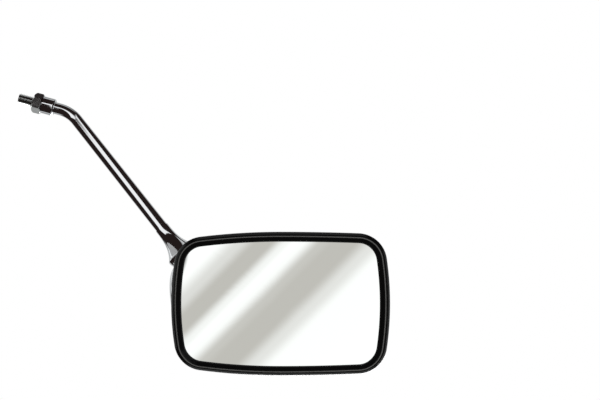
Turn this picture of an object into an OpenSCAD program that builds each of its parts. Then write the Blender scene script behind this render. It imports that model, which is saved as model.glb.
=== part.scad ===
// Left-hand motorcycle mirror: a chromed steel arm with a stud, and a chromed head with
// convex glass in a rubber surround. The head turns and tilts on a sprung ball joint.
// The origin is the centre of the stud at the lower face of the locknut, with the stud
// pointing down and the glass facing -Y.

/* [Stud and locknut] */
// Major diameter of the mounting stud
stud_d = 8; // [6:0.5:10]
// Thread depth, measured on the radius
thread_h = 0.4; // [0.2:0.05:0.6]
// Length of stud that stands free below the locknut
stud_free = 12.5; // [8:0.5:25]
// Chamfer at the stud's tip
stud_chamfer = 0.8; // [0.3:0.1:1.2]
// Size of the locknut across its flats
nut_af = 14; // [12:0.5:17]
// Height of the locknut
nut_h = 7; // [5:0.5:9]

/* [Arm] */
// Diameter of the collar at the foot of the arm
collar_d = 13.6; // [13:0.2:18]
// Height of the collar
collar_h = 9.8; // [8:0.2:14]
// Diameter of the arm at the collar
arm_d_low = 9.4; // [9:0.1:11]
// Diameter of the arm under the head
arm_d_high = 10.2; // [9.4:0.1:11]
// Bore of the arm
arm_bore = 6.6; // [6.4:0.1:7]
// Height of the corner of the arm's centre line above the locknut's face
bend_z = 30; // [28:1:45]
// Angle of the bend
bend_deg = 36.5; // [10:0.5:50]
// Turn of the bend about the stud, towards the glass side
bend_turn = 15; // [0:1:30]
// Radius of the bend's centre line
bend_r = 26; // [22:1:30]
// Distance from the corner of the centre line to the ball's centre
arm_len = 144; // [90:1:200]

/* [Ball joint] */
// Radius of the bell's dome, which is the ball
ball_r = 12.6; // [11.5:0.1:14]
// Clearance between faces that slide over each other
slide_gap = 0.2; // [0.15:0.01:0.3]
// Clearance between the dome and the lip of the housing
lip_gap = 0.3; // [0.25:0.05:0.5]
// Thickness of the nylon liner
liner_t = 0.7; // [0.5:0.1:1]
// Thickness of the socket plate
socket_t = 1.2; // [1:0.1:1.5]
// Diameter of the clamp screw
screw_d = 6; // [5:0.5:6]
// Size of the spring nut across its flats
spring_nut_af = 10; // [9:0.5:11]
// Height of the spring nut
spring_nut_h = 6; // [5:0.5:7]
// Thickness of a spring washer
spring_t = 0.9; // [0.7:0.05:1]
// Rise of a spring washer's cone
spring_rise = 0.7; // [0.4:0.05:0.9]
// Diameter of the spring washers
spring_d = 15.2; // [13:0.2:17]
// Length of the bell's flare, from the ball's centre to its end on the arm
flare_len = 25; // [16:0.5:32]

/* [Head] */
// Width over the rubber surround
head_w = 165; // [140:1:190]
// Height over the rubber surround
head_h = 108; // [90:1:130]
// Corner radius of the surround
corner_r = 22; // [16:1:28]
// Bow of the two short sides
side_bow = 2.2; // [0.8:0.1:5]
// Bow of the long sides at the end near the arm
near_bow = 3.6; // [1:0.1:6]
// Bow of the long sides at the far end
far_bow = 1.1; // [0.6:0.1:4]
// Turn of the head from the arm's frame, about the line of sight
head_turn = 105.2; // [95:0.2:115]
// Sideways distance from the ball to the middle of the glass
glass_x = 77; // [75:0.5:110]
// Distance from the ball down to the middle of the glass
glass_z = 37.3; // [36:0.1:60]
// Distance from the ball forward to the middle of the glass
glass_y = 27.7; // [26:0.1:34]
// Radius of curvature of the convex glass
glass_curve = 1200; // [1000:50:1500]
// Thickness of the glass
glass_t = 3; // [2:0.5:3]
// Thickness of the foam sheet behind the glass
foam_t = 2; // [1:0.5:2]
// Thickness of the backing board
board_t = 2; // [1.5:0.5:2]
// Thickness of the housing's pressed wall
wall_t = 0.9; // [0.7:0.1:1.2]
// Straight band of the housing behind its rim
rim_band = 7.5; // [7:0.5:9]
// Pull of the wall straight back from the rim before it turns over
wall_pull = 30; // [20:1:40]
// The same pull where the wall is short, as a share of its line's length
wall_share = 0.25; // [0.15:0.01:0.4]
// Share of each line's length that follows the neck
neck_pull = 0.25; // [0.15:0.01:0.4]
// Angle at which the neck widens from its mouth, at the back of the head
neck_flare = 45; // [32:1:55]
// The same angle on the glass side, where the wall turns down to the rim
front_flare = 100; // [90:1:110]
// Crowding of the lines towards the glass side of the neck
neck_crowd = 1.5; // [1:0.1:2]

/* [Hidden] */

chrome = [0.62, 0.62, 0.63];
zinc = [0.72, 0.72, 0.68];
seat = 0.05;
press = 0.02;

// Arm centre line
bend_run = bend_r * tan(bend_deg / 2);
bend_corner = [0, 0, bend_z];
arm_dir = [sin(bend_deg) * cos(bend_turn), -sin(bend_deg) * sin(bend_turn), cos(bend_deg)];
ball_centre = bend_corner + arm_len * arm_dir;

// Foot of the arm
core_r = stud_d / 2 - thread_h;
sink_r = stud_d / 2 + 0.2;
collar_z = nut_h + seat;
tube_seat = 3.5;
tube_z = collar_z + tube_seat;
spigot_len = 8;
tube_end = 3;

// Ball joint, as radii about the ball's centre and heights along the arm's line
lip_deg = 61;
lip_r = ball_r + lip_gap;
lip_s = lip_r * cos(lip_deg);
seat_s = lip_s + 1.25;
liner_r = ball_r + slide_gap;
socket_r = liner_r + liner_t + slide_gap;
cup_r = socket_r + socket_t + slide_gap;
screw_r = screw_d / 2;
hole_r = screw_r + 0.2;
liner_from = 26;
liner_to = 43;
socket_from = 29;
cup_to = 38;
cup_top = cup_r + 1.2;
spring_low_s = cup_top + seat;
spring_h = spring_t + spring_rise;
spring_high_s = spring_low_s + spring_h + seat;
washer_s = spring_high_s + spring_h + seat;
washer_t = 1.2;
nut_s = washer_s + washer_t + seat;
screw_tip = nut_s + spring_nut_h + 1;

// Bell, a turned trumpet
shoulder_r = 1.6;
shoulder_from = 84;
shoulder_to = 150;
flare_r = arm_d_high / 2 + 0.4;
flare_power = 3;

// Head frame: X right, Y back and Z up as the rider sees the glass
head_x = [cos(head_turn), 0, sin(head_turn)];
head_z = [-sin(head_turn), 0, cos(head_turn)];
neck_axis = [arm_dir * head_x, arm_dir[1], arm_dir * head_z];
neck_back = unit([0, 1, 0] - neck_axis[1] * neck_axis);
neck_side = cross(neck_axis, neck_back);
mouth_r = lip_r * sin(lip_deg) + 0.75;

// Section of the rubber surround, inwards from its edge and back from its front
surround_w = 7.3;
side_share = 1.07;
glass_in = 4.3;
glass_v = 2.4;
pack_t = glass_t + foam_t + board_t + 2 * seat;
lip_back_v = glass_v + pack_t + seat;
rim_in = 1.7;
rim_v = 4.1;
skirt_v = 9.2;
front_y = -glass_y - glass_v;

function unit(v) = v / norm(v);
function flip(list) = [for (i = [len(list) - 1 : -1 : 0]) list[i]];
function open_end(list) = [for (i = [0 : len(list) - 2]) list[i]];

// One quarter of the head's outline: two bowed sides joined by a round corner.
// Each entry is a point and the direction that faces outwards there.
function arc_points(cx, cz, r, a0, a1, n) =
    [for (i = [0 : n]) let (a = a0 + (a1 - a0) * i / n)
        [cx + r * cos(a), cz + r * sin(a), cos(a), sin(a)]];
function quarter(a, b, r, ex, ez) =
    let (cx = a - r - ex,
        cz = b - r - ez,
        side_r = ((r + ex) ^ 2 + cz ^ 2 - r ^ 2) / (2 * ex),
        long_r = ((r + ez) ^ 2 + cx ^ 2 - r ^ 2) / (2 * ez),
        t1 = atan2(cz, cx - a + side_r),
        t2 = atan2(cz - b + long_r, cx))
    concat(open_end(arc_points(a - side_r, 0, side_r, 0, t1, 4)),
        open_end(arc_points(cx, cz, r, t1, t2, 9)),
        arc_points(0, b - long_r, long_r, t2, 90, 6));
function turned(list, sx, sz) =
    [for (p = list) [p[0] * sx, p[1] * sz, p[2] * sx, p[3] * sz]];
far_quarter = quarter(head_w / 2, head_h / 2, corner_r, side_bow, far_bow);
near_quarter = quarter(head_w / 2, head_h / 2, corner_r, side_bow, near_bow);
outline = concat(open_end(far_quarter),
    open_end(flip(turned(near_quarter, -1, 1))),
    open_end(turned(near_quarter, -1, -1)),
    open_end(flip(turned(far_quarter, 1, -1))));
count = len(outline);

// A point of the outline moved inwards, seen from the front about the glass's middle
function inset(i, u) =
    [outline[i][0] - outline[i][2] * u * side_share, outline[i][1] - outline[i][3] * u];
// How far the convex surface falls back at a point seen from the front
function fall(p) = glass_curve - sqrt(glass_curve ^ 2 - p[0] ^ 2 - p[1] ^ 2);
// The same point in the head's frame, v behind the surround's front
function rim_point(i, u, v) =
    let (p = inset(i, u)) [p[0] + glass_x, front_y + v + fall(p), p[1] - glass_z];

// The housing's skin runs from the rim straight back and then over to the neck's mouth,
// which it leaves at an angle that opens from the back of the neck to the glass side
corner_angle = atan2(head_h, head_w);
function wrap(a) = a > 180 ? a - 360 : a < -180 ? a + 360 : a;
function mouth_angle(i) =
    let (a = wrap(atan2(outline[i][1], outline[i][0]) + corner_angle))
    sign(a) * 180 * (abs(a) / 180) ^ neck_crowd;
function mouth_out(m) = cos(m) * neck_back + sin(m) * neck_side;
function to_front(m) = (1 - cos(m)) / 2;
function bezier(p0, p1, p2, p3, t) =
    (1 - t) ^ 3 * p0 + 3 * (1 - t) ^ 2 * t * p1 + 3 * (1 - t) * t ^ 2 * p2 + t ^ 3 * p3;
skin_steps = 22;
function skin_line(i) =
    let (m = mouth_angle(i),
        start = rim_point(i, rim_in, rim_v),
        p0 = start + [0, rim_band, 0],
        p3 = neck_axis * lip_s + mouth_r * mouth_out(m),
        d = norm(p3 - p0),
        p1 = p0 + [0, min(wall_pull, wall_share * d), 0],
        leave = neck_flare + (front_flare - neck_flare) * to_front(m),
        flow = cos(leave) * neck_axis + sin(leave) * mouth_out(m),
        p2 = p3 + flow * neck_pull * d)
    concat([start], [for (j = [0 : skin_steps]) bezier(p0, p1, p2, p3, j / skin_steps)]);
skin_last = skin_steps + 1;
skin = [for (i = [0 : count - 1]) skin_line(i)];

// The wall's inner face, one thickness in from the skin and square to it
function inner_point(i, j) =
    let (along = skin[(i + 1) % count][j] - skin[(i + count - 1) % count][j],
        back = skin[i][min(j + 1, skin_last)] - skin[i][max(j - 1, 0)])
    skin[i][j] + wall_t * unit(cross(along, back));
// Its last row, at the mouth, is level with the skin at the back and higher in front
function inner_mouth(i) =
    let (m = mouth_angle(i))
    neck_axis * (lip_s + wall_t * to_front(m)) + (mouth_r - wall_t + 0.1) * mouth_out(m);

// A closed ring of quads between rows of points, each row a closed loop
function ring_faces(rows, cols) =
    [for (r = [0 : rows - 1], c = [0 : cols - 1]) let (r1 = (r + 1) % rows, c1 = (c + 1) % cols)
        [r * cols + c, r * cols + c1, r1 * cols + c1, r1 * cols + c]];
function split_quads(faces) = [for (f = faces) each [[f[0], f[1], f[2]], [f[0], f[2], f[3]]]];

module on_arm() {
    translate(ball_centre)
        rotate([0, 0, -bend_turn])
            rotate([0, bend_deg, 0])
                children();
}

module in_head() {
    translate(ball_centre)
        rotate([0, -head_turn, 0])
            children();
}

module spherical_band(r0, r1, a0, a1) {
    rotate_extrude($fn = 96)
        intersection() {
            difference() {
                circle(r = r1, $fn = 192);
                circle(r = r0, $fn = 192);
            }
            polygon([[0, 0], [40 * sin(a0), 40 * cos(a0)], [40 * sin(a1), 40 * cos(a1)]]);
        }
}

module hexagon(af, h, chamfer) {
    corner = af / sqrt(3);
    intersection() {
        cylinder(r = corner, h = h, $fn = 6);
        rotate_extrude($fn = 96)
            polygon([[0, 0], [af / 2, 0], [corner, chamfer], [corner, h - chamfer],
                [af / 2, h], [0, h]]);
    }
}

module stud() {
    color(zinc)
        rotate_extrude($fn = 96)
            polygon([[0, -stud_free],
                [stud_d / 2 - stud_chamfer, -stud_free],
                [stud_d / 2, stud_chamfer - stud_free],
                [stud_d / 2, 0],
                [core_r, 0],
                [core_r, tube_z],
                [arm_bore / 2 - press, tube_z],
                [arm_bore / 2 - press, tube_z + spigot_len],
                [0, tube_z + spigot_len]]);
}

// The nut's thread is cut away at both faces by a countersink a little wider than the stud
module locknut() {
    bore_r = core_r + seat;
    sink = sink_r - bore_r;
    color(zinc)
        difference() {
            hexagon(nut_af, nut_h, 1.1);
            rotate_extrude($fn = 96)
                polygon([[0, -1], [sink_r + 1, -1], [bore_r, sink], [bore_r, nut_h - sink],
                    [sink_r + 1, nut_h + 1], [0, nut_h + 1]]);
        }
}

module collar() {
    color(chrome)
        translate([0, 0, collar_z])
            difference() {
                rotate_extrude($fn = 96)
                    polygon([[0, 0], [collar_d / 2 - 0.5, 0], [collar_d / 2, 0.5],
                        [collar_d / 2, collar_h - 1], [collar_d / 2 - 1, collar_h], [0, collar_h]]);
                translate([0, 0, -1])
                    cylinder(r = core_r + press, h = collar_h, $fn = 96);
                translate([0, 0, tube_seat])
                    cylinder(r = arm_d_low / 2 + press, h = collar_h, $fn = 96);
            }
}

// The arm's centre line as a solid: straight foot, bend, and straight run to the bell.
// The bend is drawn over the straights by lap, and stands proud of them by swell.
module arm_path(r_low, r_high, start, end, swell) {
    lap = 0.2;
    lap_deg = atan(lap / bend_r);
    straight = arm_len - bend_run - end;
    translate([0, 0, start])
        cylinder(r = r_low, h = bend_z - bend_run - start, $fn = 72);
    rotate([0, 0, -bend_turn])
        translate([bend_r, 0, bend_z - bend_run])
            rotate([90, 0, 0])
                rotate_extrude(angle = -bend_deg - 2 * lap_deg, start = 180 + lap_deg, $fn = 144)
                    translate([bend_r, 0])
                        circle(r = r_low + swell, $fn = 72);
    on_arm()
        translate([0, 0, -end - straight])
            cylinder(r1 = r_low, r2 = r_high, h = straight, $fn = 72);
}

module arm_tube() {
    swell = 0.05;
    color(chrome)
        difference() {
            arm_path(arm_d_low / 2, arm_d_high / 2, tube_z, tube_end, swell);
            arm_path(arm_bore / 2, arm_bore / 2, tube_z - 1, tube_end - 1, swell);
        }
}

module bell() {
    sh = ball_r - shoulder_r;
    top = sh * sin(shoulder_from) + shoulder_r * sin(shoulder_to);
    top_s = sh * cos(shoulder_from) + shoulder_r * cos(shoulder_to);
    steps = 16;
    color(chrome)
        on_arm()
            difference() {
                rotate_extrude($fn = 120)
                    polygon(concat([[0, -flare_len], [0, ball_r]],
                        [for (i = [1 : 40]) let (a = shoulder_from * i / 40)
                            ball_r * [sin(a), cos(a)]],
                        [for (i = [1 : 8])
                            let (a = shoulder_from + (shoulder_to - shoulder_from) * i / 8)
                            [sh * sin(shoulder_from) + shoulder_r * sin(a),
                                sh * cos(shoulder_from) + shoulder_r * cos(a)]],
                        [for (i = [1 : steps]) let (f = 1 - i / steps)
                            [flare_r + (top - flare_r) * f ^ flare_power,
                                top_s - (top_s + flare_len) * (1 - f)]]));
                translate([0, 0, -flare_len - 1])
                    cylinder(r = arm_d_high / 2 + press, h = flare_len + 1 - tube_end, $fn = 96);
                translate([0, 0, -tube_end - 1])
                    cylinder(r = screw_r + press, h = ball_r + tube_end + 2, $fn = 96);
            }
}

module clamp_screw() {
    color(zinc)
        on_arm()
            rotate_extrude($fn = 96)
                polygon([[0, -tube_end - spigot_len],
                    [arm_bore / 2 - press, -tube_end - spigot_len],
                    [arm_bore / 2 - press, -tube_end],
                    [screw_r, -tube_end],
                    [screw_r, screw_tip - 0.6],
                    [screw_r - 0.6, screw_tip],
                    [0, screw_tip]]);
}

module cup_washer() {
    rim = cup_r * sin(cup_to);
    rim_s = cup_r * cos(cup_to);
    color(zinc)
        on_arm()
            difference() {
                rotate_extrude($fn = 96)
                    polygon([[0, rim_s], [rim, rim_s], [rim, rim_s + 1],
                        [spring_d / 2 + 0.2, cup_top], [0, cup_top]]);
                sphere(r = cup_r, $fn = 96);
                cylinder(r = hole_r, h = cup_top + 1, $fn = 96);
            }
}

// A spring washer is a shallow cone; its section leans up or down from its hole
module spring_washer(s, inner, outer) {
    r_out = spring_d / 2;
    color(zinc)
        on_arm()
            translate([0, 0, s])
                rotate_extrude($fn = 96)
                    polygon([[hole_r, inner], [r_out, outer], [r_out, outer + spring_t],
                        [hole_r, inner + spring_t]]);
}

module lower_spring() {
    spring_washer(spring_low_s, spring_rise, 0);
}

module upper_spring() {
    spring_washer(spring_high_s, 0, spring_rise);
}

module flat_washer() {
    color(zinc)
        on_arm()
            translate([0, 0, washer_s])
                difference() {
                    cylinder(r = spring_d / 2 + 0.4, h = washer_t, $fn = 96);
                    translate([0, 0, -1])
                        cylinder(r = hole_r, h = washer_t + 2, $fn = 96);
                }
}

module spring_nut() {
    color(zinc)
        on_arm()
            translate([0, 0, nut_s])
                difference() {
                    hexagon(spring_nut_af, spring_nut_h, 0.8);
                    translate([0, 0, -1])
                        cylinder(r = screw_r + press, h = spring_nut_h + 2, $fn = 96);
                }
}

module liner() {
    color([0.85, 0.84, 0.78])
        on_arm()
            spherical_band(liner_r, liner_r + liner_t, liner_from, liner_to);
}

// The socket plate is a pressed dish with a flat flange that seats inside the neck
module socket_plate() {
    flange_r = mouth_r - 0.2;
    flange_in = sqrt(socket_r ^ 2 - seat_s ^ 2);
    color(zinc)
        on_arm() {
            intersection() {
                spherical_band(socket_r, socket_r + socket_t, socket_from, 75);
                translate([0, 0, seat_s])
                    cylinder(r = flange_r, h = socket_r, $fn = 96);
            }
            rotate_extrude($fn = 96)
                polygon([[flange_in + 0.3, seat_s], [flange_r, seat_s],
                    [flange_r, seat_s + socket_t], [flange_in - 0.3, seat_s + socket_t]]);
        }
}

module housing_skin() {
    outer = [for (j = [0 : skin_last]) [for (i = [0 : count - 1]) skin[i][j]]];
    inner = [for (j = [skin_last - 1 : -1 : 0]) [for (i = [0 : count - 1]) inner_point(i, j)]];
    rows = concat(outer, [[for (i = [0 : count - 1]) inner_mouth(i)]], inner);
    points = [for (row = rows) each row];
    polyhedron(points, split_quads(ring_faces(len(rows), count)), convexity = 8);
}

module housing() {
    color(chrome) {
        in_head()
            housing_skin();
        on_arm()
            difference() {
                translate([0, 0, lip_s + 0.1])
                    cylinder(r = mouth_r - 0.4, h = seat_s - lip_s - 0.1, $fn = 96);
                sphere(r = lip_r, $fn = 192);
            }
    }
}

// Section of the surround: a slope up to one bead and a flat band inside it, a slot for
// the glass pack that opens inwards, and a slot for the housing's rim that opens backwards
surround_section = concat(
    [[0, 3.6], [0.25, 2.9], [1.2, 1.6]],
    [for (a = [135 : -13 : 57]) [3.2 + 1.5 * cos(a), 1.5 - 1.5 * sin(a)]],
    [[surround_w - 1, 1.85], [surround_w - 0.7, 2], [surround_w, 2.12],
        [surround_w, glass_v - 0.05],
        [glass_in - 0.15, glass_v - 0.05],
        [glass_in - 0.15, lip_back_v],
        [surround_w - 0.8, lip_back_v + 0.1], [surround_w - 1, lip_back_v + 1],
        [rim_in + wall_t + 0.15, lip_back_v + 1.4],
        [rim_in + wall_t + 0.15, rim_v - 0.15],
        [rim_in - 0.15, rim_v - 0.15],
        [rim_in - 0.15, skirt_v - 0.4],
        [rim_in - 0.5, skirt_v], [0.4, skirt_v - 0.3], [0, skirt_v - 0.8]]);

module rubber_surround() {
    loops = [for (i = [0 : count - 1]) [for (p = surround_section) rim_point(i, p[0], p[1])]];
    points = [for (loop = loops) each loop];
    color([0.07, 0.07, 0.07])
        in_head()
            polyhedron(points, split_quads(ring_faces(count, len(surround_section))),
                convexity = 8);
}

// A convex sheet cut to the head's outline, its front so far behind the glass's front
module sheet(v, t, edge) {
    centre_y = glass_curve - glass_y + v;
    intersection() {
        translate([glass_x, 20, -glass_z])
            rotate([90, 0, 0])
                linear_extrude(height = 80)
                    polygon([for (i = [0 : count - 1]) inset(i, edge)]);
        difference() {
            translate([glass_x, centre_y, -glass_z])
                rotate([90, 0, 0])
                    sphere(r = glass_curve, $fn = 360);
            translate([glass_x, centre_y + t, -glass_z])
                rotate([90, 0, 0])
                    sphere(r = glass_curve, $fn = 360);
        }
    }
}

module glass() {
    color([0.9, 0.92, 0.93])
        in_head()
            sheet(0, glass_t, glass_in);
}

module foam_sheet() {
    color([0.35, 0.35, 0.36])
        in_head()
            sheet(glass_t + seat, foam_t, glass_in + 0.4);
}

module backing_board() {
    color([0.45, 0.36, 0.26])
        in_head()
            sheet(glass_t + foam_t + 2 * seat, board_t, glass_in + 0.2);
}

stud();
locknut();
collar();
arm_tube();
bell();
clamp_screw();
cup_washer();
lower_spring();
upper_spring();
flat_washer();
spring_nut();
liner();
socket_plate();
housing();
rubber_surround();
glass();
foam_sheet();
backing_board();
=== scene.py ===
import math

import bpy
from mathutils import Matrix, Vector


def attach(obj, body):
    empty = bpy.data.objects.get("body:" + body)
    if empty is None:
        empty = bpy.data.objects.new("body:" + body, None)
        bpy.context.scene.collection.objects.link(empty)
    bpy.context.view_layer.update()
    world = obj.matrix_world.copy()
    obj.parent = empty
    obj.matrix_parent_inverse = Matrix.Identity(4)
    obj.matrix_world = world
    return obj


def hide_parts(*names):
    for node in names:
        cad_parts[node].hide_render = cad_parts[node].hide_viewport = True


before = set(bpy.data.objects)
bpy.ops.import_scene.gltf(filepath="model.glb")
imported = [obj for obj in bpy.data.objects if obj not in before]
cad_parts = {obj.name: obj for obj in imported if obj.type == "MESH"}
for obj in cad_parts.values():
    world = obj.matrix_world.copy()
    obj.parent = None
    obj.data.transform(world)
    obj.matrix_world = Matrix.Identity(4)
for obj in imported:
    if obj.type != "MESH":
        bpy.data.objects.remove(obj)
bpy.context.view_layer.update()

# Threaded stud: an 8 mm steel rod with a rolled 1.25 mm thread, zinc plated.
# It screws into the clamp on the handlebar, and its plain top is pressed into the arm.
MM = 0.001
STUD_R = 4.0
STUD_FREE = 12.5
POINT_R = 3.2
POINT_LEN = 0.85
PITCH = 1.25
TURNS = 13
ROOT_R = 3.28
FLANK_R = 3.92
CREST_R = 3.98
THREAD_TOP = -0.05
CORE_R = 3.6
SHOULDER_Z = 10.5
SPIGOT_R = 3.28
SPIGOT_TOP = 18.55


def select_only(piece):
    bpy.ops.object.select_all(action="DESELECT")
    piece.select_set(True)
    bpy.context.view_layer.objects.active = piece


def turned(name, section, steps=96, ring=False):
    """A turned piece: a circle drawn out along Z, ring by ring, to (radius, height) in mm.
    A ring's section closes on itself; any other gets a flat cap at each end."""
    bpy.ops.object.select_all(action="DESELECT")
    radius, height = section[0]
    bpy.ops.mesh.primitive_circle_add(vertices=steps, radius=radius * MM)
    piece = bpy.context.object
    piece.name = name
    bpy.ops.object.mode_set(mode="EDIT")
    bpy.ops.mesh.select_all(action="SELECT")
    bpy.ops.transform.translate(value=(0, 0, height * MM))
    for r, z in section[1:] + (section[:1] if ring else []):
        bpy.ops.mesh.extrude_edges_move(
            TRANSFORM_OT_translate={"value": (0, 0, (z - height) * MM)})
        bpy.ops.transform.resize(value=(r / radius, r / radius, 1),
                                 center_override=(0, 0, z * MM))
        radius, height = r, z
    bpy.ops.mesh.select_all(action="SELECT")
    bpy.ops.mesh.remove_doubles(threshold=1e-6)
    if not ring:
        bpy.ops.mesh.fill_holes(sides=0)
    bpy.ops.mesh.select_all(action="SELECT")
    bpy.ops.mesh.normals_make_consistent(inside=False)
    bpy.ops.object.mode_set(mode="OBJECT")
    return piece


# The thread is one tooth, wound up the rod by the screw modifier and cut off flat.
# The tooth's section takes the place of a small turned piece's mesh.
thread = turned("stud", [(STUD_R, 0), (STUD_R, PITCH)], steps=3)
select_only(thread)
bpy.ops.object.mode_set(mode="EDIT")
bpy.ops.mesh.select_all(action="SELECT")
bpy.ops.mesh.delete(type="VERT")
bpy.ops.object.mode_set(mode="OBJECT")
tooth = [(ROOT_R, 0.0), (ROOT_R, 0.16), (FLANK_R, 0.53), (CREST_R, 0.58), (CREST_R, 0.70),
         (FLANK_R, 0.75), (ROOT_R, 1.12), (ROOT_R, PITCH)]
thread.data.from_pydata([(r * MM, 0, (z - STUD_FREE - 2 * PITCH) * MM) for r, z in tooth],
                        [(i, i + 1) for i in range(len(tooth) - 1)], [])
winding = thread.modifiers.new("winding", "SCREW")
winding.angle = math.tau
winding.screw_offset = PITCH * MM
winding.iterations = TURNS
winding.steps = winding.render_steps = 64
winding.use_merge_vertices = True
winding.merge_threshold = 1e-6
select_only(thread)
bpy.ops.object.modifier_apply(modifier="winding")
bpy.ops.object.mode_set(mode="EDIT")
for height, side in ((-STUD_FREE, -1), (THREAD_TOP, 1)):
    bpy.ops.mesh.select_all(action="SELECT")
    bpy.ops.mesh.bisect(plane_co=(0, 0, height * MM), plane_no=(0, 0, side),
                        use_fill=True, clear_outer=True)
bpy.ops.mesh.select_all(action="SELECT")
bpy.ops.mesh.remove_doubles(threshold=1e-7)
bpy.ops.mesh.normals_make_consistent(inside=False)
bpy.ops.object.mode_set(mode="OBJECT")


def shave(piece, other, operation):
    """A boolean with a second shape, which is then thrown away."""
    select_only(piece)
    cut = piece.modifiers.new("cut", "BOOLEAN")
    cut.operation = operation
    cut.solver = "EXACT"
    cut.object = other
    bpy.ops.object.modifier_apply(modifier="cut")
    bpy.data.objects.remove(other, do_unlink=True)


def join(piece, other):
    select_only(piece)
    other.select_set(True)
    bpy.ops.object.join()


# The blank gives the thread its point, and the plain top runs up into the arm's bore.
blank = turned("blank", [(3.05, -STUD_FREE - 0.1), (POINT_R, -STUD_FREE),
                         (STUD_R + 0.05, -STUD_FREE + POINT_LEN), (STUD_R + 0.05, 0.1)])
shave(thread, blank, "INTERSECT")
top = turned("top", [(3.2, -2), (3.2, -0.06), (CORE_R, -0.06), (CORE_R, SHOULDER_Z),
                     (SPIGOT_R, SHOULDER_Z), (SPIGOT_R, 18.3), (3.0, SPIGOT_TOP)])
join(thread, top)


def smooth(piece, degrees):
    """Smooth shading up to an angle, with the large faces kept flat beside their bevels."""
    select_only(piece)
    bpy.ops.object.shade_smooth_by_angle(angle=math.radians(degrees))
    piece.modifiers.new("flat faces stay flat", "WEIGHTED_NORMAL").keep_sharp = True
    bpy.ops.object.modifier_apply(modifier="flat faces stay flat")


smooth(thread, 35)


def linear(code):
    """A colour written as sRGB hex, turned to linear for a shader socket."""
    parts = [int(code[i:i + 2], 16) / 255 for i in (1, 3, 5)]
    return tuple(c / 12.92 if c <= 0.04045 else ((c + 0.055) / 1.055) ** 2.4
                 for c in parts) + (1.0,)


def add_node(tree, kind, inputs=None, **settings):
    """A shader node with its settings, each input given as a value or as a link."""
    node = tree.nodes.new(kind)
    for key, value in settings.items():
        setattr(node, key, value)
    for socket, value in (inputs or {}).items():
        if isinstance(value, bpy.types.NodeSocket):
            tree.links.new(value, node.inputs[socket])
        else:
            node.inputs[socket].default_value = value
    return node


def new_material(name):
    """A material with its shader, and its object coordinates in metres."""
    material = bpy.data.materials.new(name)
    material.use_nodes = True
    tree = material.node_tree
    place = add_node(tree, "ShaderNodeTexCoord").outputs["Object"]
    return material, tree, tree.nodes["Principled BSDF"].inputs, place


# Bright zinc: a cool, slightly cloudy plating, greyer where it has been handled.
zinc, tree, shader, place = new_material("bright zinc plating")
cloud = add_node(tree, "ShaderNodeTexNoise", {"Vector": place, "Scale": 420.0, "Detail": 3.0})
tone = add_node(tree, "ShaderNodeMix", {"Factor": cloud.outputs["Fac"], "A": linear("#b9bcbc"),
                                        "B": linear("#dfe1df")}, data_type="RGBA")
tree.links.new(tone.outputs[2], shader["Base Color"])
polish = add_node(tree, "ShaderNodeMapRange", {"Value": cloud.outputs["Fac"], "To Min": 0.05,
                                               "To Max": 0.1})
tree.links.new(polish.outputs[0], shader["Roughness"])
shader["Metallic"].default_value = 1.0

thread.data.materials.append(zinc)
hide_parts("stud")
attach(thread, "arm")

# Locknut: a plain 14 mm hexagon nut with both faces chamfered, zinc plated.
# It is run down on to the clamp to hold the mirror at its angle.
NUT_AF = 14.0
NUT_H = 7.0
NUT_CHAMFER = 1.1
NUT_BORE_R = CORE_R + 0.05
SINK_WIDTH = 1.3
SINK_DEPTH = 0.8
CUT_PAST = 0.5
NUT_EDGE = 0.12

nut_flat = NUT_AF / 2
nut_corner = NUT_AF / math.sqrt(3)
bpy.ops.object.select_all(action="DESELECT")
bpy.ops.mesh.primitive_cylinder_add(vertices=6, radius=nut_corner * MM, depth=NUT_H * MM,
                                    location=(0, 0, NUT_H / 2 * MM),
                                    rotation=(0, 0, math.radians(30)))
locknut = bpy.context.object
locknut.name = "locknut"
bpy.ops.object.transform_apply(location=True, rotation=True, scale=True)
cone = turned("cone", [(nut_flat, 0), (nut_corner + 0.02, NUT_CHAMFER),
                       (nut_corner + 0.02, NUT_H - NUT_CHAMFER), (nut_flat, NUT_H)])
shave(locknut, cone, "INTERSECT")
bore = turned("bore", [(NUT_BORE_R + SINK_WIDTH, -CUT_PAST), (NUT_BORE_R, SINK_DEPTH),
                       (NUT_BORE_R, NUT_H - SINK_DEPTH),
                       (NUT_BORE_R + SINK_WIDTH, NUT_H + CUT_PAST)])
shave(locknut, bore, "DIFFERENCE")
edge = locknut.modifiers.new("edge", "BEVEL")
edge.width = NUT_EDGE * MM
edge.segments = 2
edge.limit_method = "ANGLE"
edge.angle_limit = math.radians(25)
select_only(locknut)
bpy.ops.object.modifier_apply(modifier="edge")
smooth(locknut, 25)
locknut.data.materials.append(zinc)
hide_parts("locknut")
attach(locknut, "locknut")

# Collar: a turned and chromed sleeve over the foot of the arm, with broken edges.
# It is brazed to the arm and gives the locknut a square face to bear on.
COLLAR_Z = 7.05
COLLAR_R = 6.8
COLLAR_H = 9.8
TUBE_SEAT = 3.5
ARM_LOW_R = 4.7
PRESS_GAP = 0.02

collar = turned("collar", [
    (CORE_R + PRESS_GAP, COLLAR_Z), (6.3, COLLAR_Z), (6.52, COLLAR_Z + 0.06),
    (6.73, COLLAR_Z + 0.25), (COLLAR_R, COLLAR_Z + 0.5), (COLLAR_R, COLLAR_Z + 8.7),
    (6.75, COLLAR_Z + 8.95), (6.1, COLLAR_Z + COLLAR_H - 0.15), (5.8, COLLAR_Z + COLLAR_H),
    (ARM_LOW_R + PRESS_GAP, COLLAR_Z + COLLAR_H), (ARM_LOW_R + PRESS_GAP, COLLAR_Z + TUBE_SEAT),
    (CORE_R + PRESS_GAP, COLLAR_Z + TUBE_SEAT)], ring=True)
smooth(collar, 30)

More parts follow.
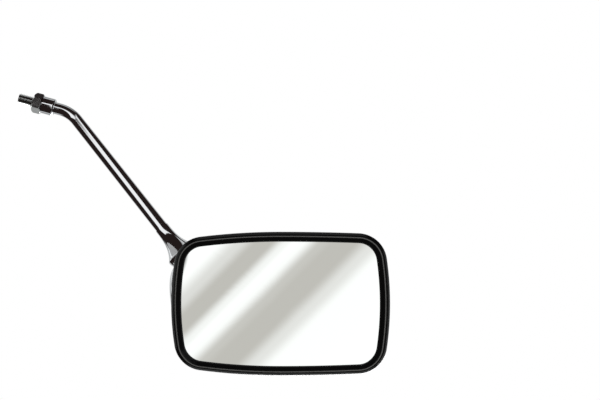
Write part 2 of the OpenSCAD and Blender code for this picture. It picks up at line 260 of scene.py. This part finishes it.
# Chrome plate: a hard, clean mirror with the faintest haze from polishing.
chrome, tree, shader, place = new_material("polished chrome plate")
haze = add_node(tree, "ShaderNodeTexNoise", {"Vector": place, "Scale": 60.0, "Detail": 4.0})
sheen = add_node(tree, "ShaderNodeMapRange", {"Value": haze.outputs["Fac"], "To Min": 0.03,
                                              "To Max": 0.07})
tree.links.new(sheen.outputs[0], shader["Roughness"])
shader["Base Color"].default_value = linear("#e3e5e7")
shader["Metallic"].default_value = 1.0

collar.data.materials.append(chrome)
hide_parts("collar")
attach(collar, "arm")

# Arm: a steel tube, bent once and drawn a little thicker towards the head, chromed.
# Its foot is pressed over the stud, and its top is pressed into the bell.
# It is modelled here as a solid rod. Its bore, which never shows, is only in the CAD.
BEND_Z = 30.0
BEND_DEG = 36.5
BEND_TURN = 15.0
BEND_R = 26.0
ARM_LEN = 144.0
ARM_HIGH_R = 5.1
TUBE_Z = 10.55
TUBE_END = 3.0
END_HANDLE = 3
LONG_HANDLE = 30

corner = Vector((0, 0, BEND_Z))
lean = Matrix.Rotation(math.radians(-BEND_TURN), 4, "Z") @ Matrix.Rotation(
    math.radians(BEND_DEG), 4, "Y")
arm_dir = (lean @ Vector((0, 0, 1, 0))).to_3d()
ball_centre = corner + ARM_LEN * arm_dir
on_arm = Matrix.Translation(ball_centre * MM) @ lean

bend_run = BEND_R * math.tan(math.radians(BEND_DEG / 2))
handle = 4 / 3 * math.tan(math.radians(BEND_DEG / 4)) * BEND_R
up = Vector((0, 0, 1))
foot = Vector((0, 0, TUBE_Z))
low = corner - bend_run * up
high = corner + bend_run * arm_dir
end = ball_centre - TUBE_END * arm_dir
bpy.ops.object.select_all(action="DESELECT")
bpy.ops.curve.primitive_bezier_curve_add(enter_editmode=False)
arm = bpy.context.object
arm.name = "arm"
line = arm.data
line.dimensions = "3D"
line.bevel_depth = ARM_LOW_R * MM
line.bevel_resolution = 22
line.resolution_u = 32
line.use_fill_caps = True
spline = line.splines[0]
spline.bezier_points.add(2)
stops = [(foot, up, END_HANDLE, END_HANDLE, ARM_LOW_R),
         (low, up, END_HANDLE, handle, ARM_LOW_R),
         (high, arm_dir, handle, LONG_HANDLE, ARM_LOW_R),
         (end, arm_dir, LONG_HANDLE, END_HANDLE, ARM_HIGH_R)]
for point, (spot, along, before, after, radius) in zip(spline.bezier_points, stops):
    point.handle_left_type = point.handle_right_type = "FREE"
    point.co = spot * MM
    point.handle_left = (spot - before * along) * MM
    point.handle_right = (spot + after * along) * MM
    point.radius = radius / ARM_LOW_R
select_only(arm)
bpy.ops.object.convert(target="MESH")
arm = bpy.context.object
bpy.ops.object.mode_set(mode="EDIT")
bpy.ops.mesh.select_all(action="SELECT")
bpy.ops.mesh.remove_doubles(threshold=1e-6)
bpy.ops.mesh.normals_make_consistent(inside=False)
bpy.ops.object.mode_set(mode="OBJECT")
arm.data.materials.clear()
arm.data.materials.append(chrome)
smooth(arm, 40)
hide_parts("arm_tube")
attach(arm, "arm")

# Bell: a turned steel trumpet on the end of the arm, chromed all over.
# Its dome is the ball of the joint, and its flare runs out thin along the tube.
BALL_R = 12.6
SHOULDER_R = 1.6
FLARE_LEN = 25.0
FLARE_R = ARM_HIGH_R + 0.4
SCREW_R = 3.0
BALL_EDGE = 84
SHOULDER_TURN = 66


def polar(radius, degrees):
    """A point on a circle, as its distance from the bell's line and its height along it."""
    return radius * math.sin(math.radians(degrees)), radius * math.cos(math.radians(degrees))


ring_r, ring_s = polar(BALL_R - SHOULDER_R, BALL_EDGE)
hole = math.degrees(math.asin((SCREW_R + PRESS_GAP) / BALL_R))
section = [polar(BALL_R, hole + (BALL_EDGE - hole) * i / 24) for i in range(25)]
for i in range(1, 11):
    r, s = polar(SHOULDER_R, BALL_EDGE + SHOULDER_TURN * i / 10)
    section.append((ring_r + r, ring_s + s))
top_r, top_s = section[-1]
for i in range(1, 33):
    f = 1 - i / 32
    section.append((FLARE_R + (top_r - FLARE_R) * f ** 3, top_s - (top_s + FLARE_LEN) * (1 - f)))
section += [(ARM_HIGH_R + PRESS_GAP, -FLARE_LEN), (ARM_HIGH_R + PRESS_GAP, -TUBE_END),
            (SCREW_R + PRESS_GAP, -TUBE_END)]
bell = turned("bell", section, steps=128, ring=True)
bell.matrix_world = on_arm
select_only(bell)
bpy.ops.object.transform_apply(location=True, rotation=True, scale=True)
smooth(bell, 35)
bell.data.materials.append(chrome)
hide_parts("bell")
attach(bell, "arm")

# Clamp stack inside the head: screw, cup washer, spring washers, flat washer, nut and socket.
# All are plain zinc-plated steel, stay on their CAD shapes and take the plating above.
for name in ("clamp_screw", "cup_washer", "lower_spring", "upper_spring", "flat_washer",
             "spring_nut", "socket_plate"):
    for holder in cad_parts[name].material_slots:
        holder.material = zinc

# Liner: a thin moulded nylon dish that the ball slides in.
# Natural nylon is a milky off-white that lets a little light through.
nylon, tree, shader, place = new_material("natural nylon")
milk = add_node(tree, "ShaderNodeTexNoise", {"Vector": place, "Scale": 300.0})
tone = add_node(tree, "ShaderNodeMix", {"Factor": milk.outputs["Fac"], "A": linear("#d9d4c4"),
                                        "B": linear("#e8e4d6")}, data_type="RGBA")
tree.links.new(tone.outputs[2], shader["Base Color"])
shader["Roughness"].default_value = 0.42
shader["Subsurface Weight"].default_value = 0.2
shader["Subsurface Scale"].default_value = 0.002
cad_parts["liner"].material_slots[0].material = nylon

# Housing: one steel pressing, 0.9 mm thick, polished and chromed.
# Its wall runs straight back from the rim and then over to a round neck that holds the ball.
HEAD_TURN = 105.2
HEAD_W = 165.0
HEAD_H = 108.0
CORNER_R = 22.0
SIDE_BOW = 2.2
NEAR_BOW = 3.6
FAR_BOW = 1.1
GLASS_X = 77.0
GLASS_Z = 37.3
GLASS_Y = 27.7
GLASS_V = 2.4
GLASS_CURVE = 1200.0
SIDE_SHARE = 1.07
FRONT_Y = -GLASS_Y - GLASS_V
WALL_T = 0.9
RIM_IN = 1.7
RIM_V = 4.1
RIM_BAND = 7.5
WALL_PULL = 30.0
WALL_SHARE = 0.25
NECK_PULL = 0.25
NECK_CROWD = 1.5
NECK_FLARE = math.radians(45)
FRONT_FLARE = math.radians(100)
LIP_R = 12.9
LIP_ANGLE = math.radians(61)
LIP_S = LIP_R * math.cos(LIP_ANGLE)
LIP_WALL = 0.75
MOUTH_R = LIP_R * math.sin(LIP_ANGLE) + LIP_WALL
SKIN_ROWS = 23

in_head = Matrix.Translation(ball_centre * MM) @ Matrix.Rotation(
    math.radians(-HEAD_TURN), 4, "Y")
neck_axis = Matrix.Rotation(math.radians(HEAD_TURN), 3, "Y") @ arm_dir
neck_back = (Vector((0, 1, 0)) - neck_axis.y * neck_axis).normalized()
neck_side = neck_axis.cross(neck_back)


def quarter(a, b, ex, ez, steps):
    """A quarter of the head's outline: side, corner and long side, each an arc.
    Each entry is a point and the way that faces outwards there."""
    cx, cz = a - CORNER_R - ex, b - CORNER_R - ez
    side_r = ((CORNER_R + ex) ** 2 + cz ** 2 - CORNER_R ** 2) / (2 * ex)
    long_r = ((CORNER_R + ez) ** 2 + cx ** 2 - CORNER_R ** 2) / (2 * ez)
    turn_1 = math.atan2(cz, cx - a + side_r)
    turn_2 = math.atan2(cz - b + long_r, cx)
    points = []
    for x, z, r, start, stop, n in ((a - side_r, 0, side_r, 0, turn_1, steps[0]),
                                    (cx, cz, CORNER_R, turn_1, turn_2, steps[1]),
                                    (0, b - long_r, long_r, turn_2, math.pi / 2, steps[2])):
        for i in range(n):
            angle = start + (stop - start) * i / n
            c, s = math.cos(angle), math.sin(angle)
            points.append((x + r * c, z + r * s, c, s))
    return points + [(0, b, 0, 1)]


def head_outline(steps):
    """The whole outline. Its long sides bow more at the arm's end than at the far end."""
    far = quarter(HEAD_W / 2, HEAD_H / 2, SIDE_BOW, FAR_BOW, steps)
    near = quarter(HEAD_W / 2, HEAD_H / 2, SIDE_BOW, NEAR_BOW, steps)
    return (far[:-1] + [(-x, z, -nx, nz) for x, z, nx, nz in near[:0:-1]]
            + [(-x, -z, -nx, -nz) for x, z, nx, nz in near[:-1]]
            + [(x, -z, nx, -nz) for x, z, nx, nz in far[:0:-1]])


def glass_fall(x, z):
    """How far the glass's curve falls back at a point off its middle, in mm."""
    return GLASS_CURVE - math.sqrt(GLASS_CURVE ** 2 - x * x - z * z)


def rim_point(entry, u, v, share=1.0):
    """A point u inwards from the outline and v behind the rubber's front, in head mm."""
    x = share * (entry[0] - entry[2] * u * SIDE_SHARE)
    z = share * (entry[1] - entry[3] * u)
    return Vector((x + GLASS_X, FRONT_Y + v + glass_fall(x, z), z - GLASS_Z))


def skin_point(entry, row, rows):
    """A point of the housing's outer skin, from its rim (row 0) back to the neck's mouth."""
    start = rim_point(entry, RIM_IN, RIM_V)
    if row == 0:
        return start
    angle = math.atan2(entry[1], entry[0]) + math.atan2(HEAD_H, HEAD_W)
    angle = (angle + math.pi) % math.tau - math.pi
    angle = math.copysign(math.pi * (abs(angle) / math.pi) ** NECK_CROWD, angle)
    out = math.cos(angle) * neck_back + math.sin(angle) * neck_side
    p0 = start + Vector((0, RIM_BAND, 0))
    p3 = neck_axis * LIP_S + MOUTH_R * out
    reach = (p3 - p0).length
    p1 = p0 + Vector((0, min(WALL_PULL, WALL_SHARE * reach), 0))
    leave = NECK_FLARE + (FRONT_FLARE - NECK_FLARE) * (1 - math.cos(angle)) / 2
    flow = math.cos(leave) * neck_axis + math.sin(leave) * out
    p2 = p3 + flow * NECK_PULL * reach
    t = (row - 1) / (rows - 1)
    return ((1 - t) ** 3 * p0 + 3 * (1 - t) ** 2 * t * p1 + 3 * (1 - t) * t ** 2 * p2
            + t ** 3 * p3)


def wrapped(name, columns, rows, place):
    """A grid whose columns close into a loop, each vertex put where place(column, row) says."""
    bpy.ops.object.select_all(action="DESELECT")
    bpy.ops.mesh.primitive_grid_add(x_subdivisions=columns, y_subdivisions=rows, size=1)
    piece = bpy.context.object
    piece.name = name
    for vertex in piece.data.vertices:
        column = round((vertex.co.x + 0.5) * columns) % columns
        row = round((vertex.co.y + 0.5) * rows)
        vertex.co = place(column, row) * MM
    piece.data.update()
    piece.matrix_world = in_head
    select_only(piece)
    bpy.ops.object.transform_apply(location=True, rotation=True, scale=True)
    bpy.ops.object.mode_set(mode="EDIT")
    bpy.ops.mesh.select_all(action="SELECT")
    bpy.ops.mesh.remove_doubles(threshold=1e-6)
    bpy.ops.mesh.normals_make_consistent(inside=False)
    bpy.ops.object.mode_set(mode="OBJECT")
    return piece


outline = head_outline((4, 9, 6))
housing = wrapped("housing", len(outline), SKIN_ROWS,
                  lambda i, j: skin_point(outline[i], j, SKIN_ROWS))
rounding = housing.modifiers.new("rounding", "SUBSURF")
rounding.levels = rounding.render_levels = 2
rounding.boundary_smooth = "PRESERVE_CORNERS"
wall = housing.modifiers.new("wall", "SOLIDIFY")
wall.thickness = WALL_T * MM
wall.offset = -1
select_only(housing)
bpy.ops.object.modifier_apply(modifier="rounding")
bpy.ops.object.modifier_apply(modifier="wall")
smooth(housing, 50)
housing.data.materials.append(chrome)
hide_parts("housing")
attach(housing, "head")

# Rubber surround: one moulded ring, stretched over the housing's rim and the glass's edge.
# A broad bead covers the chrome, and a thin lip lies on the glass.
BEAD_R = 1.5
BEAD_U = 3.2
CREST_DEPTH = 0.06

surround_section = (
    [(0, 3.6), (0.25, 2.9), (0.7, 2.2), (1.2, 1.6), (1.68, 0.87)]
    + [(BEAD_U + BEAD_R * math.cos(math.radians(a)), BEAD_R - BEAD_R * math.sin(math.radians(a)))
       for a in [135 - 6.5 * i for i in range(13)]]
    + [(5.15, 0.99), (6.3, 1.85), (6.6, 2.0), (7.3, 2.12), (7.3, 2.35), (4.15, 2.35),
       (4.15, 9.55), (6.5, 9.65), (6.3, 10.55),
       (2.75, 10.95), (2.75, 3.95), (1.55, 3.95), (1.55, 8.8), (1.2, 9.2), (0.4, 8.9),
       (0, 8.4)])
fine_outline = head_outline((12, 27, 18))
surround = wrapped("surround", len(fine_outline), len(surround_section), lambda i, j: rim_point(
    fine_outline[i], *surround_section[j % len(surround_section)]))
smooth(surround, 35)

# The bead's crest is marked on the mesh, so that a painted highlight can be laid along it.
crest = surround.data.attributes.new("crest", "FLOAT", "POINT")
for vertex, mark in zip(surround.data.vertices, crest.data):
    spot = in_head.inverted() @ vertex.co / MM
    depth = spot.y - FRONT_Y - glass_fall(spot.x - GLASS_X, spot.z + GLASS_Z)
    mark.value = max(0.0, 1 - abs(depth) / CREST_DEPTH)

# Moulded rubber: near black, with a soft sheen and a very fine grain from its mould.
# The bead's crest has a painted highlight, a greyer colour that draws a fine line round the
# glass.
rubber, tree, shader, place = new_material("moulded rubber")
grain = add_node(tree, "ShaderNodeTexNoise", {"Vector": place, "Scale": 2500.0, "Detail": 3.0})
tone = add_node(tree, "ShaderNodeMix", {"Factor": grain.outputs["Fac"], "A": linear("#080808"),
                                        "B": linear("#101010")}, data_type="RGBA")
# Painted highlight: the crest mark mixes the rubber's colour towards grey along the bead's top,
# standing in for its sheen.
crest_highlight = add_node(tree, "ShaderNodeAttribute", attribute_name="crest")
painted_highlight = add_node(tree, "ShaderNodeMix", {"Factor": crest_highlight.outputs["Fac"], "A": tone.outputs[2],
                                        "B": linear("#5c5c5a")}, data_type="RGBA")
tree.links.new(painted_highlight.outputs[2], shader["Base Color"])
bump = add_node(tree, "ShaderNodeBump", {"Height": grain.outputs["Fac"], "Strength": 0.04,
                                         "Distance": 0.00004})
tree.links.new(bump.outputs["Normal"], shader["Normal"])
shader["Roughness"].default_value = 0.2
shader["Specular IOR Level"].default_value = 0.15
surround.data.materials.append(rubber)
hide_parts("rubber_surround")
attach(surround, "head")

# Glass: 3 mm of slightly convex float glass, silvered on its back.
# The surround grips its edge all round, and the foam presses it forward.
GLASS_IN = 4.3
GLASS_T = 3.0
EDGE_SHARE = 0.998
EDGE_T = 0.3

rings = ([(i / 14, GLASS_V) for i in range(14)]
         + [(EDGE_SHARE, GLASS_V), (1.0, GLASS_V + EDGE_T)]
         + [(1.0, GLASS_V + GLASS_T - EDGE_T), (EDGE_SHARE, GLASS_V + GLASS_T)]
         + [(i / 4, GLASS_V + GLASS_T) for i in (3, 2, 1, 0)])
glass = wrapped("glass", len(fine_outline), len(rings) - 1, lambda i, j: rim_point(
    fine_outline[i], GLASS_IN, rings[j][1], share=rings[j][0]))
smooth(glass, 30)

# Silvered glass: a true mirror with a trace of green, and no texture at all.
mirror, tree, shader, place = new_material("silvered mirror glass")
shader["Base Color"].default_value = linear("#f4f7f5")
shader["Metallic"].default_value = 1.0
shader["Roughness"].default_value = 0.0
glass.data.materials.append(mirror)
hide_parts("glass")
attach(glass, "head")

# Foam sheet: soft grey packing between the glass and its board, with the glass's curve.
# It is hidden in the head, stays on its CAD shape and only takes a material.
foam, tree, shader, place = new_material("packing foam")
cells = add_node(tree, "ShaderNodeTexVoronoi", {"Vector": place, "Scale": 1400.0})
tone = add_node(tree, "ShaderNodeMix", {"Factor": cells.outputs["Distance"],
                                        "A": linear("#4a4a4a"), "B": linear("#6a6a68")},
                data_type="RGBA")
tree.links.new(tone.outputs[2], shader["Base Color"])
shader["Roughness"].default_value = 0.95
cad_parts["foam_sheet"].material_slots[0].material = foam

# Backing board: a sheet of brown hardboard that stiffens the pack behind the glass.
# The surround's back lip holds it in, and like the foam it stays on its CAD shape.
board, tree, shader, place = new_material("brown hardboard")
fibre = add_node(tree, "ShaderNodeTexNoise", {"Vector": place, "Scale": 900.0, "Detail": 6.0})
tone = add_node(tree, "ShaderNodeMix", {"Factor": fibre.outputs["Fac"], "A": linear("#4b3522"),
                                        "B": linear("#6d5237")}, data_type="RGBA")
tree.links.new(tone.outputs[2], shader["Base Color"])
shader["Roughness"].default_value = 0.8
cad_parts["backing_board"].material_slots[0].material = board

# Floor: a pale round table top, part of the setting and not of the mirror.
# It lies far below the mirror and never touches it.
bpy.ops.object.select_all(action="DESELECT")
bpy.ops.mesh.primitive_circle_add(vertices=128, radius=0.5, fill_type="NGON",
                                  location=(0.06, 0, -0.9))
floor = bpy.context.object
floor.name = "floor"
paint, tree, shader, place = new_material("pale table top")
mottle = add_node(tree, "ShaderNodeTexNoise", {"Vector": place, "Scale": 6.0})
tone = add_node(tree, "ShaderNodeMix", {"Factor": mottle.outputs["Fac"], "A": linear("#e6e6e6"),
                                        "B": linear("#efefef")}, data_type="RGBA")
tree.links.new(tone.outputs[2], shader["Base Color"])
shader["Roughness"].default_value = 0.7
floor.data.materials.append(paint)

# Studio: white paper behind the mirror, and a dark brown room with white cards round the camera.
# The chrome shows the room as dark and a long card as a white streak; the glass shows a card.
head_x = (in_head @ Vector((1, 0, 0, 0))).to_3d()
head_z = (in_head @ Vector((0, 0, 1, 0))).to_3d()
streak = (-0.78 * head_x - 0.62 * head_z).normalized()
beside = (-0.62 * head_x + 0.78 * head_z).normalized()
world = bpy.data.worlds.new("studio")
bpy.context.scene.world = world
world.use_nodes = True
tree = world.node_tree
tree.nodes.clear()
way = add_node(tree, "ShaderNodeTexCoord").outputs["Generated"]


def along(axis):
    """How far the ray's direction goes along an axis, from -1 to 1."""
    return add_node(tree, "ShaderNodeVectorMath", {0: way, 1: tuple(axis)},
                    operation="DOT_PRODUCT").outputs["Value"]


def sums(operation, a, b=0.0):
    """One step of arithmetic, on links or plain values."""
    return add_node(tree, "ShaderNodeMath", {0: a, 1: b}, operation=operation).outputs[0]


def step(value, start, stop):
    """A soft edge: nothing at start, everything at stop."""
    return add_node(tree, "ShaderNodeMapRange", {"Value": value, "From Min": start,
                                                 "From Max": stop},
                    interpolation_type="SMOOTHSTEP").outputs[0]


def both(*parts):
    """Where all of the parts overlap."""
    value = parts[0]
    for part in parts[1:]:
        value = sums("MULTIPLY", value, part)
    return value


DIAGONAL = 0.7071
CARD_SKEW = 0.75
LEFT_SKEW = 3.0
RIGHT_SKEW = 10.0
PALE_WHITE = 0.62
GLOW = 1.12

forward = along((0, -1, 0))
ahead = sums("MAXIMUM", forward, 0.02)
right = sums("DIVIDE", along(head_x), ahead)
rise = sums("DIVIDE", along(head_z), ahead)
across = sums("MULTIPLY", sums("SUBTRACT", right, rise), DIAGONAL)
slant = sums("ARCTAN2", along(streak), forward)
aside = along(beside)

# The card behind the camera, which fills the glass and is cut off askew on the arm's side
cut_edge = sums("ADD", aside, sums("MULTIPLY", slant, CARD_SKEW))
near_card = both(step(slant, -0.3, -0.25), step(slant, 0.36, 0.33), step(aside, -0.5, -0.4),
                 step(cut_edge, 0.262, 0.252))
# The long card, down to the left, which draws the streak along the arm
left_edge = sums("ADD", slant, sums("MULTIPLY", sums("SUBTRACT", aside, 0.4), LEFT_SKEW))
right_edge = sums("ADD", slant, sums("MULTIPLY", sums("SUBTRACT", aside, 0.39), RIGHT_SKEW))
long_card = both(step(left_edge, 0.50, 0.40), step(right_edge, -0.60, -0.50),
                 step(aside, 0.28, 0.31), step(aside, 0.47, 0.44))
# A card up to the right, which whitens the thread's grooves a little
groove_card = both(step(slant, -0.95, -0.85), step(slant, -0.19, -0.23), step(aside, -0.3, -0.25),
                   step(aside, 0.30, 0.27))
white_cards = sums("MAXIMUM", long_card, groove_card)
# Two grey folds in the near card, which run up to the right
ramp = add_node(tree, "ShaderNodeValToRGB", {"Fac": add_node(
    tree, "ShaderNodeMapRange", {"Value": across, "From Min": -0.2, "From Max": 0.3}).outputs[0]})
ramp.color_ramp.interpolation = "EASE"
ramp.color_ramp.elements.remove(ramp.color_ramp.elements[1])
ramp.color_ramp.elements[0].position = 0.0
ramp.color_ramp.elements[0].color = (1, 1, 1, 1)
for spot, white in ((0.13, 1.0), (0.20, 0.7), (0.25, 0.5), (0.29, 0.5), (0.335, 0.9), (0.36, 1.0),
                    (0.385, 0.97), (0.44, 0.55), (0.48, 0.5), (0.54, 0.5), (0.60, 0.75),
                    (0.66, 0.98), (1.0, 1.0)):
    warm = [1 - (1 - white) * fall for fall in (0.97, 1.006, 1.064)]
    ramp.color_ramp.elements.new(spot).color = (*warm, 1)
folds = ramp.outputs["Color"]

# The room: dark brown, and pale far behind, above and below, where the white paper curves round.
# Two white cards stand off both ends of the stud's line, behind the mirror, for the thread.
behind = step(forward, -0.6, -0.68)
high = along(head_z)
sides = both(sums("MAXIMUM", step(high, 0.86, 0.91), step(high, -0.72, -0.78)),
             step(forward, -0.1, -0.25))
far_out = sums("ABSOLUTE", along((0, 0, 1)))
thread_cards = both(step(far_out, 0.74, 0.78), step(forward, -0.3, -0.36))
paper_round = sums("MULTIPLY", sums("MAXIMUM", behind, sides), PALE_WHITE)
pale = sums("MAXIMUM", paper_round, thread_cards)
room = add_node(tree, "ShaderNodeMix", {"Factor": pale, "A": linear("#241c1b"),
                                        "B": linear("#f2f4f4")}, data_type="RGBA").outputs[2]
glow = add_node(tree, "ShaderNodeMix", {"Factor": near_card, "A": room, "B": folds},
                data_type="RGBA").outputs[2]
glow = add_node(tree, "ShaderNodeMix", {"Factor": white_cards, "A": glow, "B": (1, 1, 1, 1)},
                data_type="RGBA").outputs[2]
lit = add_node(tree, "ShaderNodeBackground", {"Color": glow, "Strength": GLOW})
paper = add_node(tree, "ShaderNodeBackground", {"Color": (1, 1, 1, 1), "Strength": 1.0})
seen = add_node(tree, "ShaderNodeMixShader", {
    0: add_node(tree, "ShaderNodeLightPath").outputs["Is Camera Ray"], 1: lit.outputs[0],
    2: paper.outputs[0]})
add_node(tree, "ShaderNodeOutputWorld", {"Surface": seen.outputs[0]})

# Softboxes: one high behind, which lights the back, and a wide fill beside the camera.
# The fill is switched off for reflections, so it lights the dull pieces and not the chrome.
for name, spot, size, power, mirrored in (("back softbox", (0.5, 0.9, 0.5), 0.5, 5, True),
                                          ("front fill", (0.3, -1.2, 0.6), 0.9, 10, False)):
    bpy.ops.object.select_all(action="DESELECT")
    bpy.ops.object.light_add(type="AREA", location=spot)
    lamp = bpy.context.object
    lamp.name = name
    lamp.data.size = size
    lamp.data.energy = power
    lamp.visible_glossy = mirrored
    lamp.rotation_euler = (Vector((0.04, -0.01, 0.1)) - lamp.location).to_track_quat(
        "-Z", "Y").to_euler()

# Camera: straight on to the glass and turned with the head, as the photograph shows it.
# It stands 0.9 m from the glass, and its aim puts the mirror low and to the left.
EYE_RIGHT = 91.6
EYE_UP = 40.7
EYE_Y = -0.9499

bpy.ops.object.select_all(action="DESELECT")
bpy.ops.object.camera_add()
camera = bpy.context.object
camera.data.lens = 72
camera.data.sensor_width = 36
camera.data.clip_start = 0.05
eye = (ball_centre + EYE_RIGHT * head_x + EYE_UP * head_z) * MM
eye.y = EYE_Y
camera.matrix_world = Matrix.Translation(eye) @ Matrix((head_x, head_z, (0, -1, 0))).transposed(
).to_4x4()
bpy.context.scene.camera = camera
bpy.context.scene.view_settings.view_transform = "Standard"
